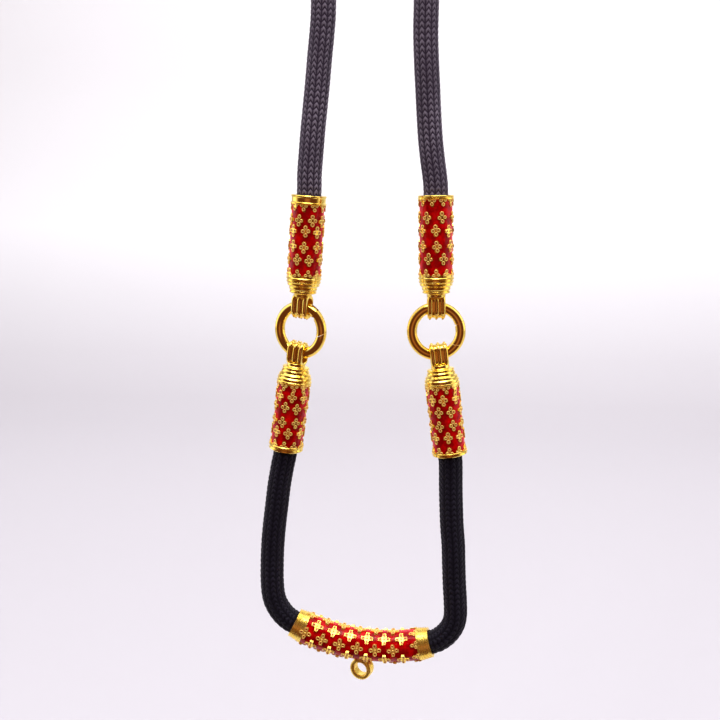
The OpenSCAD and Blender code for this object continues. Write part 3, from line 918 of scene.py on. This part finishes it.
class NECKLACE_OT_cap_petals(bpy.types.Operator):
    """Lay the petal rings and pits on the caps and the granules on their bails"""

    bl_idname = "necklace.cap_petals"
    bl_label = "Cap petals"

    def execute(self, context):
        look = context.scene.necklace_metal
        gold = gold_finish("petal_gold", (look.pale_gold, look.gold),
                           dull=0.14, broad=900.0, relief=0.00002, metal=0.62)
        # The pits' finish: gold painted darker as painted shade in the hollows, mixed at random
        # with the red that has run into the petals
        shade = gold_finish("pit_shade_gold", (look.pit_shade, look.deep_pit),
                            dull=0.3, broad=700.0, relief=0.00002, metal=0.4)
        wire = look.petal / MM
        for name, (_, _, reach, band, mouth_turn, crown_turn, count) in CAPS.items():
            matrix, place, _ = cap_frame(name)
            body = reach - LEDGE
            i = np.arange(count)
            rows = list(enumerate(CAP_ROWS[name]))
            height = np.concatenate([reach - body * share + SWING_LIFT * SWING[(i + j) % len(SWING)]
                                     for j, (share, _) in rows])
            turns = np.concatenate([360 / count * i + shift + SWING[(i + 3 * j) % len(SWING)]
                                    for j, (_, shift) in rows])
            flowers = self.stand(matrix, place, height, turns)
            even = 360 / HALF_COUNT * np.arange(HALF_COUNT)
            middle, side, rise, out = self.stand(
                matrix, place, np.full(HALF_COUNT, reach - band + MOUTH_LIFT), even + mouth_turn)
            crown = self.stand(
                matrix, place, np.full(HALF_COUNT, reach - body * CROWN_SHARE), even + crown_turn)
            put_petals(name, [flower_rings(flowers, CAP_PETALS, wire),
                              flower_rings((middle, side, -rise, out), HALF_PETALS, wire),
                              flower_rings(crown, HALF_PETALS, wire)],
                       [self.granules(matrix, place)], gold, shade)
        return {"FINISHED"}

    @staticmethod
    def stand(matrix, place, height, turns):
        """Middle, side, rise and out directions of flowers that stand round a cap."""
        a = np.radians(turns)
        out = np.stack([np.sin(a), -np.cos(a), 0 * a], 1)
        side = np.stack([np.cos(a), np.sin(a), 0 * a], 1)
        rise = np.tile([0.0, 0.0, 1.0], (len(a), 1))
        middle = CAP_FLAT * out + height[:, None] * rise
        return place + middle @ matrix.T, side @ matrix.T, rise @ matrix.T, out @ matrix.T

    @staticmethod
    def granules(matrix, place):
        """Beads in a row on each rib, round the end of a cap's bail."""
        x = np.repeat(RIBS, len(GRANULE_TURNS))
        a = np.radians(np.tile(GRANULE_TURNS, len(RIBS)))
        out = np.stack([0 * a, np.sin(a), -np.cos(a)], 1)
        spots = np.stack([x, 0 * x, 0 * x + BAIL_END], 1) + GRANULE_SEAT * out
        sides = np.tile(matrix[:, 0], (len(x), 1))
        return beads(place + spots @ matrix.T, sides, out @ matrix.T, BEAD, GRANULE_RISE)


class NECKLACE_OT_tube_petals(bpy.types.Operator):
    """Lay the petal rings, pits and middle beads on the flowers of the centre tube"""

    bl_idname = "necklace.tube_petals"
    bl_label = "Tube petals"

    def execute(self, context):
        wire = context.scene.necklace_metal.petal / MM
        steps = STAR_PITCH * np.arange(STAR_COUNT)
        along = np.concatenate([first + steps for _, first in TUBE_ROWS])
        about = np.repeat([float(turn) for turn, _ in TUBE_ROWS], STAR_COUNT)
        eye_along, eye_about, reach = EYE_PATCH
        from_eye = np.hypot((along - eye_along) * TUBE[2],
                            (about - eye_about) * TUBE_RADIUS) * np.pi / 180
        stars = self.stand(along[from_eye > reach], about[from_eye > reach])
        beside = np.full(len(COLLAR_TURNS), TUBE[4] - COLLAR)
        middle, ahead, across, out = self.stand(beside, COLLAR_TURNS)
        put_petals("tube", [flower_rings(stars, TUBE_PETALS, wire),
                            flower_rings((middle, across, -ahead, out), HALF_PETALS, wire)],
                   [beads(stars[0], stars[1], stars[3], BEAD, STAR_BEAD_RISE)],
                   bpy.data.materials["petal_gold"], bpy.data.materials["pit_shade_gold"])
        return {"FINISHED"}

    @staticmethod
    def stand(along, about):
        """Middle, along, across and out directions of flowers on the tube.

        The first angle goes along its bend, the second about it from the front downwards.
        """
        x, z, bend, _, _ = TUBE
        a, b = np.radians(along), np.radians(about)
        zero = 0 * a
        down = np.stack([np.sin(a), zero, -np.cos(a)], 1)
        ahead = np.stack([np.cos(a), zero, np.sin(a)], 1)
        out = np.stack([zero, -np.cos(b), zero], 1) + np.sin(b)[:, None] * down
        middle = np.array([x, 0, z]) + bend * down + TUBE_FLAT * out
        return middle, ahead, np.cross(out, ahead), out


class NECKLACE_OT_stage(bpy.types.Operator):
    """Lay the plain paper, set the soft lamps and light the room"""

    bl_idname = "necklace.stage"
    bl_label = "Stage"

    def execute(self, context):
        look = context.scene.necklace_stage
        floor = put_mesh("floor", *paper_sheet())
        floor.data.materials.append(paper_finish(look))
        for name, (place, size, turn, power, mirrored) in LAMPS.items():
            data = bpy.data.lights.new(name, "AREA")
            data.shape = "ELLIPSE"
            data.size, data.size_y = size
            data.energy = power * look.soft
            lamp = bpy.data.objects.new("light_" + name, data)
            lamp.location = place
            lamp.rotation_euler = np.radians(turn)
            lamp.visible_glossy = mirrored
            context.scene.collection.objects.link(lamp)
        context.scene.world = room_light()
        context.scene.view_settings.view_transform = "Standard"
        return {"FINISHED"}


class NECKLACE_PT_panel(bpy.types.Panel):
    """Sizes, colours and steps of the necklace"""

    bl_label = "Necklace"
    bl_space_type = "VIEW_3D"
    bl_region_type = "UI"
    bl_category = "Necklace"

    def draw(self, context):
        for group in GROUPS:
            settings = getattr(context.scene, group)
            for key in settings.bl_rna.properties.keys():
                if key not in ("rna_type", "name"):
                    self.layout.prop(settings, key)
        for step in STEPS:
            self.layout.operator(step.bl_idname)


GROUPS = {
    "necklace_cords": NecklaceCords,
    "necklace_metal": NecklaceMetal,
    "necklace_enamel": NecklaceEnamel,
    "necklace_stage": NecklaceStage,
}
STEPS = [NECKLACE_OT_camera, NECKLACE_OT_cords, NECKLACE_OT_castings, NECKLACE_OT_enamel,
         NECKLACE_OT_cap_petals, NECKLACE_OT_tube_petals, NECKLACE_OT_stage]
CLASSES = [*GROUPS.values(), *STEPS, NECKLACE_PT_panel]


def register():
    """Add the classes and the scene's settings."""
    for made in CLASSES:
        bpy.utils.register_class(made)
    for key, group in GROUPS.items():
        setattr(bpy.types.Scene, key, bpy.props.PointerProperty(type=group))


def unregister():
    """Take the settings and the classes away again."""
    for key in GROUPS:
        delattr(bpy.types.Scene, key)
    for made in reversed(CLASSES):
        bpy.utils.unregister_class(made)


def main():
    """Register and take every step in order."""
    register()
    for step in STEPS:
        area, name = step.bl_idname.split(".")
        getattr(getattr(bpy.ops, area), name)()


if __name__ == "__main__":
    main()
